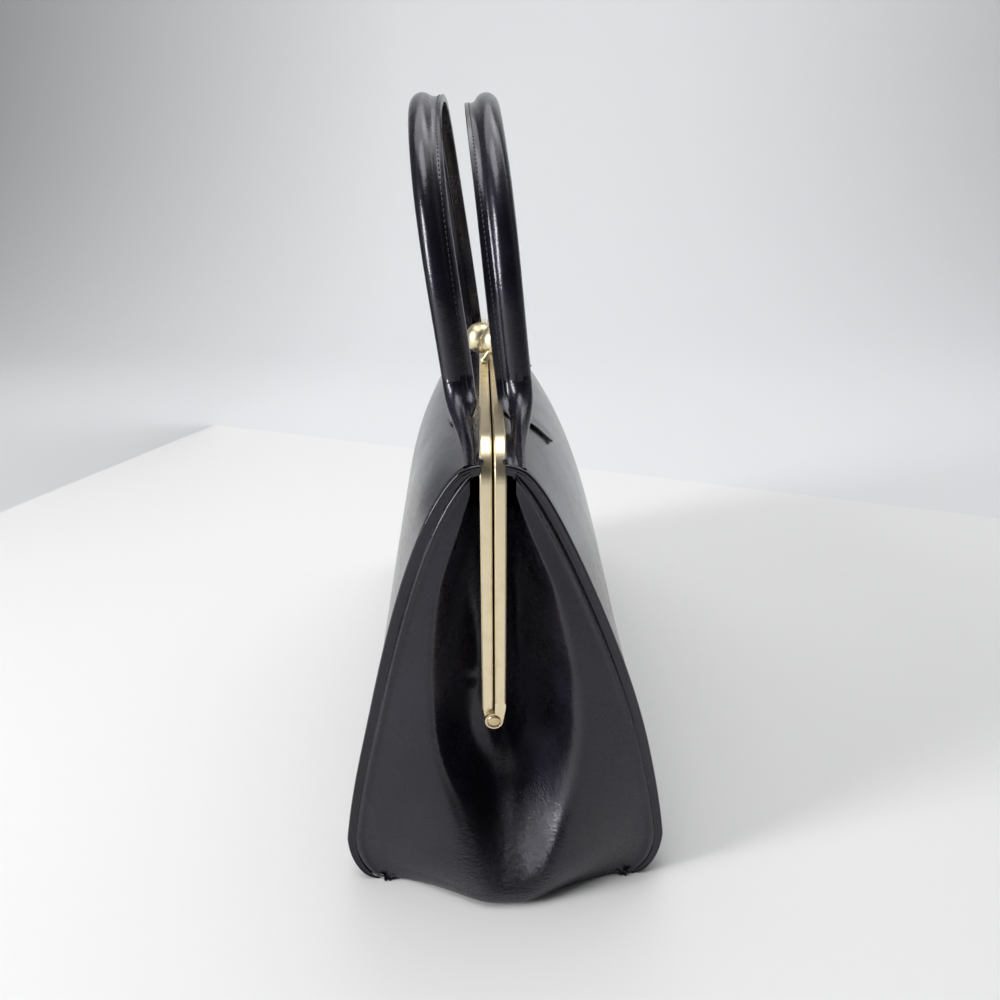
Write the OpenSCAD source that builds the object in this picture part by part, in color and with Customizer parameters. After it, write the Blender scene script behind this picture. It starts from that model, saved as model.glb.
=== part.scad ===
// Kiss lock frame purse: a leather body that hangs in a hinged brass frame
// X runs along the bag, the front faces -Y, and the bag stands on Z = 0

/* [Body] */
// Length between the two end seams
bag_len = 268; // [230:1:310]
// Depth of the body at its foot, at the end seams
foot_depth = 126; // [100:1:150]
// How much deeper the foot is at mid length
foot_swell = 2.5; // [0:0.5:8]
// Height at which the sides turn in under the body
foot_rise = 20; // [10:1:26]
// How far the sides turn in under the body
foot_turn = 12; // [8:1:18]
// How far the front and back panels run out flat from the frame, at the end seams
end_shoulder = 16; // [10:1:24]
// How far the panels run out flat from the frame, at mid length
mid_shoulder = 42; // [26:1:50]
// How far the end seams stand out at the floor, where the bag is longest
foot_splay = 9; // [0:0.5:12]
// How far the gusset stands out beyond the end seams at the floor
lip_reach = 22; // [12:1:30]
// Height of the ridge that runs down each side of a gusset
ridge_height = 6; // [2:0.5:8]

/* [Leather and lining] */
// Thickness of the outer leather
leather = 1.6; // [1.2:0.1:2]
// Thickness of the lining
lining = 0.6; // [0.4:0.1:0.8]
// Diameter of the piping in the end seams
piping_d = 3; // [2.4:0.1:3.4]
// Thickness of the board in the base
board_t = 2; // [1:0.5:3]
// Width of the slip pocket on the back lining
pocket_w = 130; // [80:1:170]
// Height of the slip pocket's lower edge above the floor
pocket_low = 62; // [50:1:75]
// Height of the slip pocket's mouth above the floor
pocket_high = 128; // [110:1:140]

/* [Frame] */
// Height of the top of the frame above the floor
frame_top = 183.5; // [165:0.5:210]
// Height of the hinge above the floor
hinge_z = 72; // [60:0.5:90]
// How far the frame stands in front of the middle of the base
frame_set = 4.5; // [0:0.5:8]
// How far the frame's arms stand out past the end seams
arm_proud = 1; // [0:0.25:2]
// Width of one half of the frame, front to back
rail_w = 4.1; // [3.8:0.1:5]
// Depth of the frame's channel section
rail_depth = 8; // [7:0.5:10]
// Wall of the channel section
rail_wall = 0.85; // [0.7:0.05:0.95]
// Outside radius of the frame's shoulders
shoulder_r = 14; // [12:1:24]
// Gap between the closed halves
frame_gap = 0.8; // [0.4:0.1:1.2]
// Flat of the bevel along the frame's edges
edge_bevel = 0.5; // [0.2:0.1:0.8]

/* [Hinge] */
// Diameter of the hinge rivet
rivet_d = 3; // [2.4:0.1:3.4]
// Diameter of the rivet's outer head
rivet_head_d = 5; // [4.4:0.1:5.4]
// Thickness of the rivet's heads
rivet_head_t = 0.9; // [0.6:0.1:1.2]
// Radius of the round ears at the ends of the arms
ear_r = 3.45; // [3.2:0.05:3.9]
// Thickness of one ear
ear_t = 2.4; // [2:0.1:2.6]
// Height over which the arms taper down to the ears
ear_rise = 6; // [5:0.5:10]

/* [Kiss lock] */
// Diameter of each ball
ball_d = 15; // [12:0.5:16]
// Space between the balls as they pass each other
ball_pass = 0.4; // [0.3:0.1:1]
// Height of the front half's ball above the frame, at its middle
front_ball_rise = 10.4; // [9:0.1:12]
// Height of the back half's ball above the frame, at its middle
back_ball_rise = 8.7; // [8.6:0.1:11]
// How far each ball leans over the other half of the frame
ball_lean = 3.8; // [2:0.1:5]
// Diameter of the stem under each ball
stem_d = 3.2; // [2.6:0.1:3.4]
// Distance from a ball to the rivets that hold its plate
lock_rivet_reach = 30; // [20:1:40]
// Diameter of the lock rivets
lock_rivet_d = 1.8; // [1.4:0.1:2]

/* [Handles] */
// Distance between the middles of a handle's two legs
handle_span = 152; // [120:1:180]
// Height of the middle of the handle's top above its feet
handle_rise = 115; // [95:1:140]
// Diameter of the rolled handle
roll_d = 10.5; // [9:0.5:12]
// Diameter of the cord inside the roll
core_d = 7.2; // [5:0.1:7.4]
// How far the stitched flange reaches from the middle of the roll
flange_reach = 9; // [7:0.5:10]
// Thickness of the stitched flange
flange_t = 3; // [2:0.5:4]
// Lean of the handles towards the front, in degrees
handle_lean = 7; // [4:0.5:8]
// Distance from the middle of the frame to the feet of a handle
handle_foot = 13.5; // [13:0.5:16]
// Width of the leather tab under a handle's foot
tab_w = 16; // [12:1:20]
// Distance from the middle of the frame to the tip of a tab
tab_tip = 26; // [22:1:40]
// Thickness of a tab
tab_t = 1.4; // [1:0.1:1.8]

/* [Hidden] */
$fn = 48;

// Clearances
soft_gap = 0.3;
running_gap = 0.05;
layer_gap = 0.15;

// Places that follow from the driving sizes
seam_x = bag_len / 2;
frame_x = seam_x + arm_proud;
frame_len = 2 * frame_x;
half_gap = frame_gap / 2;
half_w = half_gap + rail_w;
channel_w = rail_w - 2 * rail_wall;
channel_y = half_gap + rail_w / 2;
rail_low = frame_top - rail_depth;
arm_low = hinge_z + ear_rise;
piping_r = piping_d / 2;
ball_r = ball_d / 2;
ball_x = (ball_d + ball_pass) / 2;
roll_r = roll_d / 2;

// The curve of the sides, from the frame down to the foot
top_w = half_w + piping_r + 2 * soft_gap;
top_z = rail_low - soft_gap;
foot_w = foot_depth / 2;
end_fullness = 7;
end_waist = 54;
mid_fullness = 17;
mid_waist = 46;
lean_low = 60;
lean_high = 165;
split_s = 0.62;
foot_s = 2;
panel_x = seam_x - leather - 2 * soft_gap;
seam_inset = piping_r + 1.5 * soft_gap;

function ease(t) = let (u = min(1, max(0, t))) u * u * (3 - 2 * u);
function mix(a, b, t) = a + (b - a) * t;
function bezier(a, b, c, d, t) = let (u = 1 - t)
    u * u * u * a + 3 * u * u * t * b + 3 * u * t * t * c + t * t * t * d;

// Middle of the body at a height: over the base it is 0, and it leans to the frame above
function middle_y(z) = -frame_set * ease((z - lean_low) / (lean_high - lean_low));

// The end seams stand out towards the floor, and the ends of the panels go with them
splay_top = 85;
splay_bow = 1.2;
function splay(z) = foot_splay * pow(max(0, 1 - z / splay_top), splay_bow);

// Half depth and height of the side: s is 0 at the frame, 1 at the foot and 2 under the base
function side_curve(shoulder, fullness, waist, foot, s) = s <= 1
    ? bezier([top_w, top_z], [top_w + shoulder, top_z], [foot - fullness, foot_rise + waist],
        [foot, foot_rise], s)
    : [foot - foot_turn * (1 - cos(90 * (s - 1))), foot_rise * (1 - sin(90 * (s - 1)))];
function end_side(s) = side_curve(end_shoulder, end_fullness, end_waist, foot_w, s);
function mid_side(s) = side_curve(mid_shoulder, mid_fullness, mid_waist, foot_w + foot_swell / 2, s);
function side_at(x, s) = mix(end_side(s), mid_side(s), 1 - pow(x / seam_x, 2));
function skin(side, x, s) = let (p = side_at(x, s))
    [x + splay(p[1]) * pow(x / seam_x, 3), middle_y(p[1]) + side * p[0], p[1]];

// The place on the side at x where the half depth is w
function side_s(x, w, low = 0, high = 0.6, steps = 18) = let (mid = (low + high) / 2)
    steps == 0 ? mid
    : side_at(x, mid)[0] < w ? side_s(x, w, mid, high, steps - 1)
    : side_s(x, w, low, mid, steps - 1);

// The end seam moved into the body by d, square to the seam
function seam_inner(s, d) = let (
    a = end_side(max(0, s - 0.01)),
    b = end_side(min(foot_s, s + 0.01)),
    t = (b - a) / norm(b - a)
) end_side(s) + d * [-t[1], t[0]] * -1;

// Inner edge of the frame's arms and shoulders at a height
function arm_inner(z) = z < frame_top - shoulder_r ? frame_x - rail_depth
    : frame_x - shoulder_r
        + sqrt(max(0, pow(shoulder_r - rail_depth, 2) - pow(z - frame_top + shoulder_r, 2)));

// A gusset stands out from the end seams in two ridges that meet in a lip at the floor,
// with a valley between them that passes inside the frame's arms
lip_fade = 32;
ridge_top = 170;
valley_w = half_w + 3 * soft_gap;
valley_deep = 0.5;
valley_rise = 32;
// Each ridge runs out from the lip as it rises, and comes in again near the top
function ridge_place(u, z) = let (
    h = max(0, z) / hinge_z,
    slow = u < 0 ? pow(h / 0.75, 1.5) : pow(h / 0.58, 1.2)
) 0.07 + 0.63 * (1 - exp(-slow)) - 0.17 * ease((z / frame_top - 0.68) / 0.22);
function ridge_out(z) = (lip_reach - ridge_height) * exp(-z / lip_fade)
    + ridge_height * max(0, 1 - z / ridge_top);
function valley_out(z) = mix(arm_inner(z) - valley_deep - seam_x - splay(z), ridge_out(z),
    ease((hinge_z - valley_rise - z) / (hinge_z - valley_rise - foot_rise / 3)));
function fold_out(u, z, w) = let (
    t = abs(u),
    off = sign(u) * (-frame_set - middle_y(z)),
    h = z / hinge_z,
    flat = (valley_w + off) / w * ease((h - 0.42) / 0.49),
    r = max(ridge_place(u, z), min(flat + 0.1, 0.97)),
    rise = pow(max(0, (t - flat) / (r - flat)), mix(1.2, 1.7, ease((h - 0.42) / 0.56))),
    beyond = max(0, (t - r) / (1 - r)),
    nose = (sqrt(beyond * beyond + 0.0225) - 0.15) / (sqrt(1.0225) - 0.15)
) t < r ? mix(valley_out(z), ridge_out(z), ease(rise))
    : ridge_out(z) * mix(pow(1 - nose, 1.7), 1 - pow(beyond, 1.3), ease(h / 0.76));
function gusset_skin(end, u, s) = let (
    outer = end_side(s),
    inner = seam_inner(s, seam_inset),
    edge = pow(abs(u), 6),
    z = mix(outer[1], inner[1], edge),
    under = foot_turn * (1 - cos(90 * max(0, s - 1))) * fold_out(u, 0, foot_w) / lip_reach
) [
    end * (seam_x + splay(outer[1]) + fold_out(u, outer[1], inner[0]) - under),
    middle_y(z) + u * inner[0],
    z
];

// Sheets are grids of points given a thickness along their own normals
function grid_normal(g, i, j) = let (
    n = len(g) - 1,
    m = len(g[0]) - 1,
    a = g[min(i + 1, n)][j] - g[max(i - 1, 0)][j],
    b = g[i][min(j + 1, m)] - g[i][max(j - 1, 0)],
    c = cross(a, b)
) c / norm(c);
function sheet_faces(n, m) = let (k = (n + 1) * (m + 1)) concat(
    [for (i = [0 : n - 1], j = [0 : m - 1]) let (a = i * (m + 1) + j, b = a + m + 1)
        each [[a, b, b + 1], [a, b + 1, a + 1], [k + a, k + b + 1, k + b], [k + a, k + a + 1, k + b + 1]]],
    [for (i = [0 : n - 1]) let (a = i * (m + 1), b = a + m + 1, c = a + m, d = b + m)
        each [[b, a, k + a], [b, k + a, k + b], [c, d, k + d], [c, k + d, k + c]]],
    [for (j = [0 : m - 1]) let (a = j, c = n * (m + 1) + j)
        each [[a, a + 1, k + a + 1], [a, k + a + 1, k + a], [c + 1, c, k + c], [c + 1, k + c, k + c + 1]]]
);
function turned(faces) = [for (f = faces) [f[2], f[1], f[0]]];
// A grid sunk by d below its own surface, where hand is the grid's handedness
function sunk(g, d, hand) = [for (i = [0 : len(g) - 1])
    [for (j = [0 : len(g[i]) - 1]) g[i][j] + d * hand * grid_normal(g, i, j)]];
// A closed sheet between an outer and an inner grid
module sheet(outer, inner, hand) {
    points = concat([for (row = outer) each row], [for (row = inner) each row]);
    faces = sheet_faces(len(outer) - 1, len(outer[0]) - 1);
    polyhedron(points, hand > 0 ? faces : turned(faces), convexity = 6);
}
module skin_sheet(grid, near, far, hand) sheet(sunk(grid, near, hand), sunk(grid, far, hand), hand);
function steps(a, b, n) = [for (i = [0 : n]) mix(a, b, i / n)];
function skin_grid(side, x_list, s_list) = [for (s = s_list) [for (x = x_list) skin(side, x, s)]];

// Sweeps a shape drawn in (outward, y) round the frame, down to a height on each arm
module along_frame(low) {
    straight = frame_top - shoulder_r;
    rail = frame_len - 2 * shoulder_r;
    translate([rail / 2, 0, frame_top])
        rotate([0, -90, 0]) linear_extrude(rail) children();
    for (end = [0, 1]) mirror([end, 0, 0]) {
        translate([frame_x, 0, low]) linear_extrude(straight - low) children();
        translate([frame_x - shoulder_r, 0, straight])
            rotate([90, 0, 0]) rotate_extrude(angle = 90, $fn = 96)
                translate([shoulder_r, 0]) mirror([0, 1]) children();
    }
}
module at_frame() translate([0, -frame_set, 0]) children();
module facing(side) mirror([0, side > 0 ? 0 : 1, 0]) children();
module at_end(end) mirror([end > 0 ? 0 : 1, 0, 0]) children();
// Places a shape drawn in (y, z) with its thickness along +X from x
module upright(x, thickness) translate([x, 0, 0]) rotate([90, 0, 90]) linear_extrude(thickness) children();

module channel_section() polygon([
    [-rail_depth, half_gap], [-rail_depth, half_gap + rail_wall],
    [-rail_wall, half_gap + rail_wall], [-rail_wall, half_w - rail_wall],
    [-rail_depth, half_w - rail_wall], [-rail_depth, half_w],
    [-edge_bevel, half_w], [0, half_w - edge_bevel],
    [0, half_gap + edge_bevel], [-edge_bevel, half_gap]
]);
module ear_outline() {
    overlap = 2;
    polygon([
        [half_gap, arm_low + overlap], [half_w, arm_low + overlap], [half_w, arm_low],
        [ear_r, hinge_z], [0, hinge_z - ear_r / 2], [half_gap, hinge_z + ear_r]
    ]);
    translate([0, hinge_z]) circle(ear_r);
}
module hinge_bore(d) {
    translate([0, 0, hinge_z]) rotate([0, 90, 0]) cylinder(d = d, h = 2 * frame_len, center = true);
}
head_room = 0.45;
head_sink = 0.6;
back_ear_x = frame_x - ear_t;
front_ear_x = back_ear_x - ear_t - layer_gap;
lock_rivet_y = half_gap + rail_w / 2;

module frame_half(side, ear_x) {
    ball_side = -side;
    difference() {
        union() {
            facing(side) along_frame(arm_low) channel_section();
            for (end = [-1, 1]) at_end(end) facing(side) upright(ear_x, ear_t) ear_outline();
        }
        hinge_bore(rivet_d + 2 * running_gap);
        for (end = [-1, 1]) at_end(end) translate([frame_x - head_sink, 0, hinge_z])
            rotate([0, 90, 0]) cylinder(d = rivet_head_d + 2 * head_room, h = ear_t);
        for (place = [-1, 1])
            translate([ball_side * ball_x + place * lock_rivet_reach, side * lock_rivet_y, rail_low])
                cylinder(d = lock_rivet_d + 2 * running_gap, h = 2 * rail_depth, $fn = 24);
    }
}
module front_frame_half() at_frame() color("#c9b27c") frame_half(-1, front_ear_x);
module back_frame_half() at_frame() color("#c9b27c") frame_half(1, back_ear_x);

washer_t = 0.7;
washer_x = front_ear_x - 0.1 - washer_t;
tail_t = 0.8;
module hinge_rivet(end) at_frame() at_end(end) translate([0, 0, hinge_z]) rotate([0, 90, 0]) {
    head_x = frame_x - head_sink + running_gap;
    translate([0, 0, head_x]) cylinder(d = rivet_head_d, h = rivet_head_t);
    translate([0, 0, washer_x - tail_t]) cylinder(d = rivet_d, h = head_x - washer_x + 2 * tail_t);
    translate([0, 0, washer_x - tail_t]) cylinder(d = rivet_d + 1.4, h = tail_t);
}
module right_hinge_rivet() color("#d8c593") hinge_rivet(1);
module left_hinge_rivet() color("#d8c593") hinge_rivet(-1);

module hinge_washer(end) at_frame() at_end(end)
    translate([washer_x + running_gap, 0, hinge_z]) rotate([0, 90, 0]) difference() {
        cylinder(r = ear_r - 0.3, h = washer_t);
        translate([0, 0, -washer_t]) cylinder(d = rivet_d + 2 * running_gap, h = 3 * washer_t);
    }
module right_hinge_washer() color("#a8925f") hinge_washer(1);
module left_hinge_washer() color("#a8925f") hinge_washer(-1);

// Each ball sits on a stem that slants in from its own half of the frame
stem_foot_l = 9;
stem_foot_t = 0.8;
module lock_ball(side, rise) at_frame() {
    x = -side * ball_x;
    foot_y = side * lock_rivet_y;
    top_y = -side * ball_lean;
    slant = atan2(top_y - foot_y, rise);
    translate([x, top_y, frame_top + rise]) sphere(ball_r, $fn = 64);
    intersection() {
        translate([x, foot_y, frame_top]) rotate([-slant, 0, 0])
            translate([0, 0, -stem_d]) cylinder(d = stem_d, h = rise + stem_d);
        translate([x - ball_d, -ball_d, frame_top]) cube([2 * ball_d, 2 * ball_d, 2 * ball_d]);
    }
    translate([x - stem_foot_l / 2, foot_y - channel_w / 2, frame_top])
        cube([stem_foot_l, channel_w, stem_foot_t]);
}
module front_lock_ball() color("#e2d09a") lock_ball(-1, front_ball_rise);
module back_lock_ball() color("#e2d09a") lock_ball(1, back_ball_rise);

lock_rivet_deep = rail_wall + 0.1;
lock_rivet_proud = 0.15;
module lock_rivets(side) at_frame() for (place = [-1, 1])
    translate([-side * ball_x + place * lock_rivet_reach, side * lock_rivet_y, frame_top - lock_rivet_deep])
        cylinder(d = lock_rivet_d, h = lock_rivet_deep + lock_rivet_proud, $fn = 24);
module front_lock_rivets() color("#8d7a52") lock_rivets(-1);
module back_lock_rivets() color("#8d7a52") lock_rivets(1);

// Paper cord that packs the leather into the channel
cord_r = 0.75;
module channel_cord(side) at_frame() facing(side) along_frame(arm_low + 4)
    translate([-(rail_wall + 0.3 + cord_r), channel_y]) circle(cord_r, $fn = 16);
module front_channel_cord() color("#c8b48c") channel_cord(-1);
module back_channel_cord() color("#c8b48c") channel_cord(1);

// The panels' upper edges are tucked up into the rail
tuck_up = 5;
tuck_len = frame_len - 2 * shoulder_r - 4;
module tuck_section() {
    out = channel_y + leather / 2;
    polygon([
        [out - leather, top_z + tuck_up], [out, top_z + tuck_up], [out, top_z],
        [top_w + 0.4, top_z], [top_w + 0.4, top_z - leather], [out - leather, top_z - leather]
    ]);
}
across = steps(-panel_x, panel_x, 22);
upper_rows = steps(0, split_s - 0.0015, 9);
lower_rows = concat(steps(split_s, 1, 4), steps(1.17, foot_s, 5));
module upper_panel(side) {
    skin_sheet(skin_grid(side, across, upper_rows), 0, leather, side);
    at_frame() facing(side) upright(-tuck_len / 2, tuck_len) tuck_section();
}
module front_upper_panel() color("#17171c") upper_panel(-1);
module back_upper_panel() color("#17171c") upper_panel(1);

module lower_panel(side) skin_sheet(skin_grid(side, across, lower_rows), 0, leather, side);
module front_lower_panel() color("#1b1b20") lower_panel(-1);
module back_lower_panel() color("#1b1b20") lower_panel(1);

gusset_top_w = 12.5;
gusset_s = side_s(seam_x, gusset_top_w);
gusset_rows = concat(steps(gusset_s, 1, 13), steps(1.2, foot_s, 4));
gusset_columns = steps(-1, 1, 26);
function gusset_grid(end) = [for (s = gusset_rows) [for (u = gusset_columns) gusset_skin(end, u, s)]];
// Above the foot a gusset's layers lie behind each other along the bag, and below it they
// follow the turn under the body
steepest = 0.45;
function gusset_layer(end, row_inset, column_inset, d) = let (g = gusset_grid(end))
    [for (i = [row_inset : len(g) - 1 - row_inset]) let (under = min(1, max(0, gusset_rows[i] - 1)))
        [for (j = [column_inset : len(g[0]) - 1 - column_inset]) let (n = -end * grid_normal(g, i, j))
            g[i][j] + mix([-end * d / max(steepest, abs(n[0])), 0, 0], d * n, under)]];
module gusset_sheet(end, row_inset, column_inset, near, far) sheet(
    gusset_layer(end, row_inset, column_inset, near), gusset_layer(end, row_inset, column_inset, far), -end);
module gusset(end) gusset_sheet(end, 0, 0, 0, leather);
module right_gusset() color("#141418") gusset(1);
module left_gusset() color("#141418") gusset(-1);

// Piping follows the end seams from the frame down to the floor
piping_sides = 8;
function piping_ring(side, s) = let (
    a = end_side(max(0, s - 0.01)),
    b = end_side(min(foot_s, s + 0.01)),
    t = (b - a) / norm(b - a),
    p = end_side(s)
) [for (k = [0 : piping_sides - 1]) let (
    angle = 360 * k / piping_sides,
    w = p[0] + piping_r * cos(angle) * t[1],
    z = p[1] - piping_r * cos(angle) * t[0]
) [splay(p[1]) + piping_r * sin(angle), middle_y(p[1]) + side * w, z]];
function tube_faces(rings, n) = concat(
    [for (i = [0 : rings - 2], k = [0 : n - 1]) let (a = i * n + k, b = i * n + (k + 1) % n)
        each [[a, b, b + n], [a, b + n, a + n]]],
    [for (k = [1 : n - 2]) each [
        [0, k + 1, k],
        [(rings - 1) * n, (rings - 1) * n + k, (rings - 1) * n + k + 1]
    ]]
);
// The last ring stands a hair above the floor
function floor_s(low = 1, high = 2, steps = 16) = let (mid = (low + high) / 2)
    steps == 0 ? mid
    : end_side(mid)[1] > piping_r + 0.1 ? floor_s(mid, high, steps - 1)
    : floor_s(low, mid, steps - 1);
piping_rows = concat(steps(0, 1, 18), steps(mix(1, floor_s(), 0.25), floor_s(), 3));
module piping(end) at_end(end) translate([seam_x, 0, 0]) for (side = [-1, 1]) {
    points = [for (s = piping_rows) each piping_ring(side, s)];
    faces = tube_faces(len(piping_rows), piping_sides);
    polyhedron(points, side > 0 ? faces : turned(faces), convexity = 6);
}
module right_piping() color("#0f0f13") piping(1);
module left_piping() color("#0f0f13") piping(-1);

// The base follows the lower edges of the panels and gussets
base_w = foot_w - foot_turn - 2 * soft_gap;
function base_end(u, inset) = seam_x + splay(0) - leather - 5 * soft_gap - inset
    + fold_out(u, 0, foot_w) * (1 - foot_turn / lip_reach);
function base_outline(inset) = let (w = base_w - inset, us = steps(-1, 1, 20)) concat(
    [for (u = us) [base_end(u, inset), u * w]],
    [for (u = us) [-base_end(u, inset), -u * w]]
);
base_inner_z = leather + 0.1;
module base_panel() color("#101014") linear_extrude(leather) polygon(base_outline(0));
board_inset = 3;
module base_board() color("#9b8460") translate([0, 0, base_inner_z])
    linear_extrude(board_t) polygon(base_outline(board_inset));
module base_lining() color("#8a7a66") translate([0, 0, base_inner_z + board_t + 0.1])
    linear_extrude(lining) polygon(base_outline(board_inset + 1));

lining_in = leather + soft_gap;
lining_x = panel_x - 1.6;
module panel_lining(side) skin_sheet(
    skin_grid(side, steps(-lining_x, lining_x, 16), concat(steps(0.09, 1, 9), [1.25, 1.5])),
    lining_in, lining_in + lining, side);
module front_lining() color("#8a7a66") panel_lining(-1);
module back_lining() color("#8a7a66") panel_lining(1);

module gusset_lining(end) gusset_sheet(end, 2, 2, lining_in, lining_in + lining);
module right_gusset_lining() color("#8a7a66") gusset_lining(1);
module left_gusset_lining() color("#8a7a66") gusset_lining(-1);

function side_s_z(z, low = 0, high = 1, steps = 18) = let (mid = (low + high) / 2)
    steps == 0 ? mid
    : mid_side(mid)[1] > z ? side_s_z(z, mid, high, steps - 1)
    : side_s_z(z, low, mid, steps - 1);
pocket_in = lining_in + lining + 0.2;
module slip_pocket() color("#75664f") skin_sheet(
    skin_grid(1, steps(-pocket_w / 2, pocket_w / 2, 8), steps(side_s_z(pocket_high), side_s_z(pocket_low), 4)),
    pocket_in, pocket_in + lining, 1);

// Handles: a rolled arch with a stitched flange on the side that faces the other handle
handle_x = handle_span / 2;
leg_h = handle_rise - handle_x;
neck_r = 3.2;
neck_h = 10;
flange_low = 12;
flange_full = 26;
flange_root = 3.5;
seat_s = side_s(handle_x, handle_foot);
seat = side_at(handle_x, seat_s);
seat_step = side_at(handle_x, seat_s + 0.01) - seat;
seat_rise = norm(seat_step) / seat_step[0];
handle_z = seat[1] + (soft_gap + tab_t + soft_gap + neck_r) * seat_rise;
module on_handle(side) at_frame() translate([0, side * handle_foot, handle_z])
    rotate([handle_lean, 0, 0]) children();
// Sweeps a shape drawn in (outward, y) round the arch, down to a height on each leg
module along_arch(low) {
    translate([0, 0, leg_h]) rotate([90, 0, 0]) rotate_extrude(angle = 180, $fn = 120)
        translate([handle_x, 0]) mirror([0, 1]) children();
    for (end = [0, 1]) mirror([end, 0, 0])
        translate([handle_x, 0, low]) linear_extrude(leg_h - low) children();
}
module handle_cover(side) on_handle(side) difference() {
    union() {
        along_arch(neck_h) circle(roll_r);
        translate([0, 0, leg_h]) rotate([90, 0, 0]) rotate_extrude(angle = 180, $fn = 120)
            translate([handle_x - flange_t / 2, side > 0 ? flange_root : -flange_reach])
                square([flange_t, flange_reach - flange_root]);
        for (end = [-1, 1]) {
            facing(-side) upright(end * handle_x - flange_t / 2, flange_t) polygon([
                [flange_root, leg_h], [flange_reach, leg_h],
                [flange_reach, flange_full], [flange_root, flange_low]
            ]);
            translate([end * handle_x, 0, 0]) cylinder(r1 = neck_r, r2 = roll_r, h = neck_h);
            translate([end * handle_x, 0, 0]) rotate([0, 90, 0])
                cylinder(r = neck_r, h = 2 * neck_r, center = true);
        }
    }
    along_arch(neck_h) circle(core_d / 2 + 0.1);
}
module front_handle_cover() color("#1a1a20") handle_cover(-1);
module back_handle_cover() color("#1a1a20") handle_cover(1);

module handle_core(side) on_handle(side) along_arch(neck_h + 0.1) circle(core_d / 2);
module front_handle_core() color("#c9b48a") handle_core(-1);
module back_handle_core() color("#c9b48a") handle_core(1);

// Leaf-shaped tabs lie on the upper panels under the handles' feet
tab_top = 9;
tab_belly = 0.45;
tab_neck = 0.6;
function leaf(v) = tab_w / 2 * (v < tab_belly ? mix(tab_neck, 1, ease(v / tab_belly))
    : sqrt(1 - pow((v - tab_belly) / (1 - tab_belly), 2)));
module tab(side, end) {
    x = end * handle_x;
    s_top = side_s(x, tab_top);
    s_tip = side_s(x, tab_tip);
    rows = concat(steps(0, 0.9, 12), [0.96, 0.99]);
    grid = [for (v = rows) [for (u = steps(-1, 1, 6)) skin(side, x + leaf(v) * u, mix(s_top, s_tip, v))]];
    skin_sheet(grid, -soft_gap - tab_t, -soft_gap, side);
}
module front_right_tab() color("#202026") tab(-1, 1);
module front_left_tab() color("#202026") tab(-1, -1);
module back_right_tab() color("#202026") tab(1, 1);
module back_left_tab() color("#202026") tab(1, -1);

front_frame_half();
back_frame_half();
right_hinge_rivet();
left_hinge_rivet();
right_hinge_washer();
left_hinge_washer();
front_lock_ball();
back_lock_ball();
front_lock_rivets();
back_lock_rivets();
front_channel_cord();
back_channel_cord();
front_upper_panel();
back_upper_panel();
front_lower_panel();
back_lower_panel();
right_gusset();
left_gusset();
right_piping();
left_piping();
base_panel();
base_board();
front_lining();
back_lining();
right_gusset_lining();
left_gusset_lining();
base_lining();
slip_pocket();
front_handle_cover();
back_handle_cover();
front_handle_core();
back_handle_core();
front_right_tab();
front_left_tab();
back_right_tab();
back_left_tab();
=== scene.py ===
import math

import bmesh
import bpy
from mathutils import Matrix, Vector, noise
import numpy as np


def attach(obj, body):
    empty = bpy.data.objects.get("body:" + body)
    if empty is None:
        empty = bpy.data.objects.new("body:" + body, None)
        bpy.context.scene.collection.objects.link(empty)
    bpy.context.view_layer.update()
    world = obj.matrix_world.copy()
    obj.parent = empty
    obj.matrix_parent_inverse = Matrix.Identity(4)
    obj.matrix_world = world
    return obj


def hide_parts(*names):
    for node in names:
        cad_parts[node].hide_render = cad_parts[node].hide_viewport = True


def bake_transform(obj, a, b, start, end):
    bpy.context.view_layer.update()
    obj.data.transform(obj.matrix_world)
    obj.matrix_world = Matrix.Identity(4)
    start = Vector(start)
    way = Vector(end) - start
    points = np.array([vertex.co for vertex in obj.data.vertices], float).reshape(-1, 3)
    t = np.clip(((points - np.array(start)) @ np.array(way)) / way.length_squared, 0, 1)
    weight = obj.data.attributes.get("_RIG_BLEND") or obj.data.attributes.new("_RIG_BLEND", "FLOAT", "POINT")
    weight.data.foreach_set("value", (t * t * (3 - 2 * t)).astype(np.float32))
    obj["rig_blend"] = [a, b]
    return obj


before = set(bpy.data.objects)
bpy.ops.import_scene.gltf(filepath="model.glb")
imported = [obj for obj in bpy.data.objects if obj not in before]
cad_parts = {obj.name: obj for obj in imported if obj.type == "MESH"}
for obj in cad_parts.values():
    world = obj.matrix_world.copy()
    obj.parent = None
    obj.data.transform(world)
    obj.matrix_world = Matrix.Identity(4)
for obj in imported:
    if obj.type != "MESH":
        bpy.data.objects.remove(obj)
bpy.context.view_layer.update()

# Places and sizes of the purse, in millimetres
MM = 0.001
SEAM_X = 134.0
FRAME_X = 135.0
FRAME_SET = 4.5
FRAME_TOP = 183.5
RAIL_DEPTH = 8.0
SHOULDER_R = 14.0
HALF_W = 4.5
CHANNEL_Y = 2.45
HINGE_Z = 72.0
LEATHER = 1.6
LINING = 0.6
GAP = 0.3
TOP_W = 6.6
TOP_Z = 175.2
LEAN_FOOT = 60.0
LEAN_RISE = 105.0
FOOT_W = 63.0
FOOT_SWELL = 1.25
FOOT_RISE = 20.0
FOOT_TURN = 12.0
FOOT_SPLAY = 9.0
SPLAY_TOP = 85.0
LIP_REACH = 22.0
VALLEY_RISE = 32.0
RIDGE_HEIGHT = 6.0
RIDGE_TOP = 170.0
SEAM_LIFT = 2.4
PLEAT_DEPTH = 5.0
HOLLOW_DEPTH = 11.0
HANDLE_X = 76.0
HANDLE_FOOT = 13.5
HANDLE_Z = 179.448
HANDLE_LEAN = math.radians(7)
LEG_H = 39.0
ROLL_R = 5.25
STITCH_STEP = 2.0
TAB_W = 6.0
TAB_THICKNESS = 1.1
BALL_R = 7.5
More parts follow.
